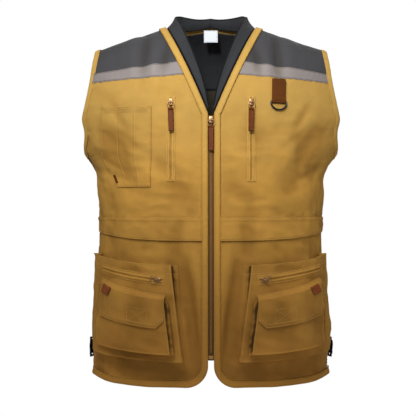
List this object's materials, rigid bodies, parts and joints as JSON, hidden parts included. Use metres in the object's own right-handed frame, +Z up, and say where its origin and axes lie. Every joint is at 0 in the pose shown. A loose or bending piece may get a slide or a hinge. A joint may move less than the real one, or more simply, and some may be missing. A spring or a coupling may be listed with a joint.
{
  "type": "work vest",
  "caption": "Sleeveless canvas work vest with a V neck, ribbed collar, front zip, grey shoulder yokes and flapped cargo pockets.",
  "frame": {"origin": "midway between the shoulders, at the height where the shoulder seams meet the collar; the worn vest hangs from here", "axes": "+Z up, the front with its zip faces -Y, the back +Y; +X is the wearer's left"},
  "size_m": [0.4978, 0.2853, 0.7212],
  "materials": {
    "canvas": "matt cotton canvas, ochre",
    "yoke_cloth": "matt twill, dark grey",
    "rib_knit": "fine rib knit, charcoal",
    "grey_tape": "smooth light grey tape",
    "lining": "thin smooth lining, near black",
    "label": "plain white satin label",
    "leather": "smooth brown leather",
    "brown_webbing": "close woven brown webbing",
    "dark_steel": "dark plated steel wire",
    "brass": "pale polished brass",
    "zip_tape": "brown zip tape and coil",
    "dark_webbing": "dark navy webbing",
    "buckle_plastic": "dark satin plastic"
  },
  "bodies": {
    "vest": {"armhole_binding_left": "canvas", "armhole_binding_right": "canvas", "back_lining": "lining", "back_neck_band": "canvas", "back_panel": "canvas", "back_tape": "grey_tape", "back_yoke": "yoke_cloth", "cargo_pocket_left": "canvas", "cargo_pocket_right": "canvas", "chest_pocket": "canvas", "chest_pocket_tag": "leather", "chest_zip_coil_left": "zip_tape", "chest_zip_coil_right": "zip_tape", "chest_zip_slider_left": "brass", "chest_zip_slider_right": "brass", "chest_zip_welt_left": "canvas", "chest_zip_welt_right": "canvas", "collar": "rib_knit", "flap_left": "canvas", "flap_pouch_left": "canvas", "flap_pouch_right": "canvas", "flap_right": "canvas", "front_band_left": "canvas", "front_band_right": "canvas", "front_lower_left": "canvas", "front_lower_right": "canvas", "front_tape_left": "grey_tape", "front_tape_right": "grey_tape", "front_upper_left": "canvas", "front_upper_right": "canvas", "front_yoke_left": "yoke_cloth", "front_yoke_right": "yoke_cloth", "front_zip_box": "brass", "front_zip_coil": "zip_tape", "front_zip_slider": "brass", "front_zip_tape": "zip_tape", "neck_label": "label", "pocket_label_left": "leather", "pocket_label_right": "leather", "pocket_zip_left": "zip_tape", "pocket_zip_right": "zip_tape", "pocket_zip_slider_left": "brass", "pocket_zip_slider_right": "brass", "ring_strap": "brown_webbing", "side_buckle_left": "buckle_plastic", "side_buckle_right": "buckle_plastic", "side_strap_left": "dark_webbing", "side_strap_right": "dark_webbing", "waist_flap_left": "canvas", "waist_flap_right": "canvas"},
    "front_zip_pull": {"front_zip_link": "brass", "front_zip_tab": "leather"},
    "chest_zip_pull_left": {"chest_zip_link_left": "brass", "chest_zip_tab_left": "leather"},
    "chest_zip_pull_right": {"chest_zip_link_right": "brass", "chest_zip_tab_right": "leather"},
    "pocket_zip_pull_left": {"pocket_zip_link_left": "brass"},
    "pocket_zip_pull_right": {"pocket_zip_link_right": "brass"},
    "ring": {"ring": "dark_steel"}
  },
  "joints": [
    {"name": "front_zip_pull_swing", "type": "hinge", "parent": "vest", "child": "front_zip_pull", "pos_m": [0, -0.12792, -0.19131], "axis": [-1, 0, 0], "range_deg": [0, 150]},
    {"name": "chest_zip_pull_left_swing", "type": "hinge", "parent": "vest", "child": "chest_zip_pull_left", "pos_m": [0.07672, -0.12261, -0.15714], "axis": [-0.9946, -0.0956, 0.0395], "range_deg": [0, 150]},
    {"name": "chest_zip_pull_right_swing", "type": "hinge", "parent": "vest", "child": "chest_zip_pull_right", "pos_m": [-0.07672, -0.12261, -0.15714], "axis": [-0.9946, 0.0956, -0.0395], "range_deg": [0, 150]},
    {"name": "pocket_zip_pull_left_swing", "type": "hinge", "parent": "vest", "child": "pocket_zip_pull_left", "pos_m": [0.10164, -0.15005, -0.49253], "axis": [0.081, -0.0319, -0.9962], "range_deg": [0, 150]},
    {"name": "pocket_zip_pull_right_swing", "type": "hinge", "parent": "vest", "child": "pocket_zip_pull_right", "pos_m": [-0.10164, -0.15005, -0.49253], "axis": [0.081, 0.0319, 0.9962], "range_deg": [0, 150]},
    {"name": "ring_swing", "type": "hinge", "parent": "vest", "child": "ring", "pos_m": [0.12863, -0.11148, -0.15634], "axis": [-0.9832, -0.1763, 0.0461], "range_deg": [0, 120]}
  ]
}
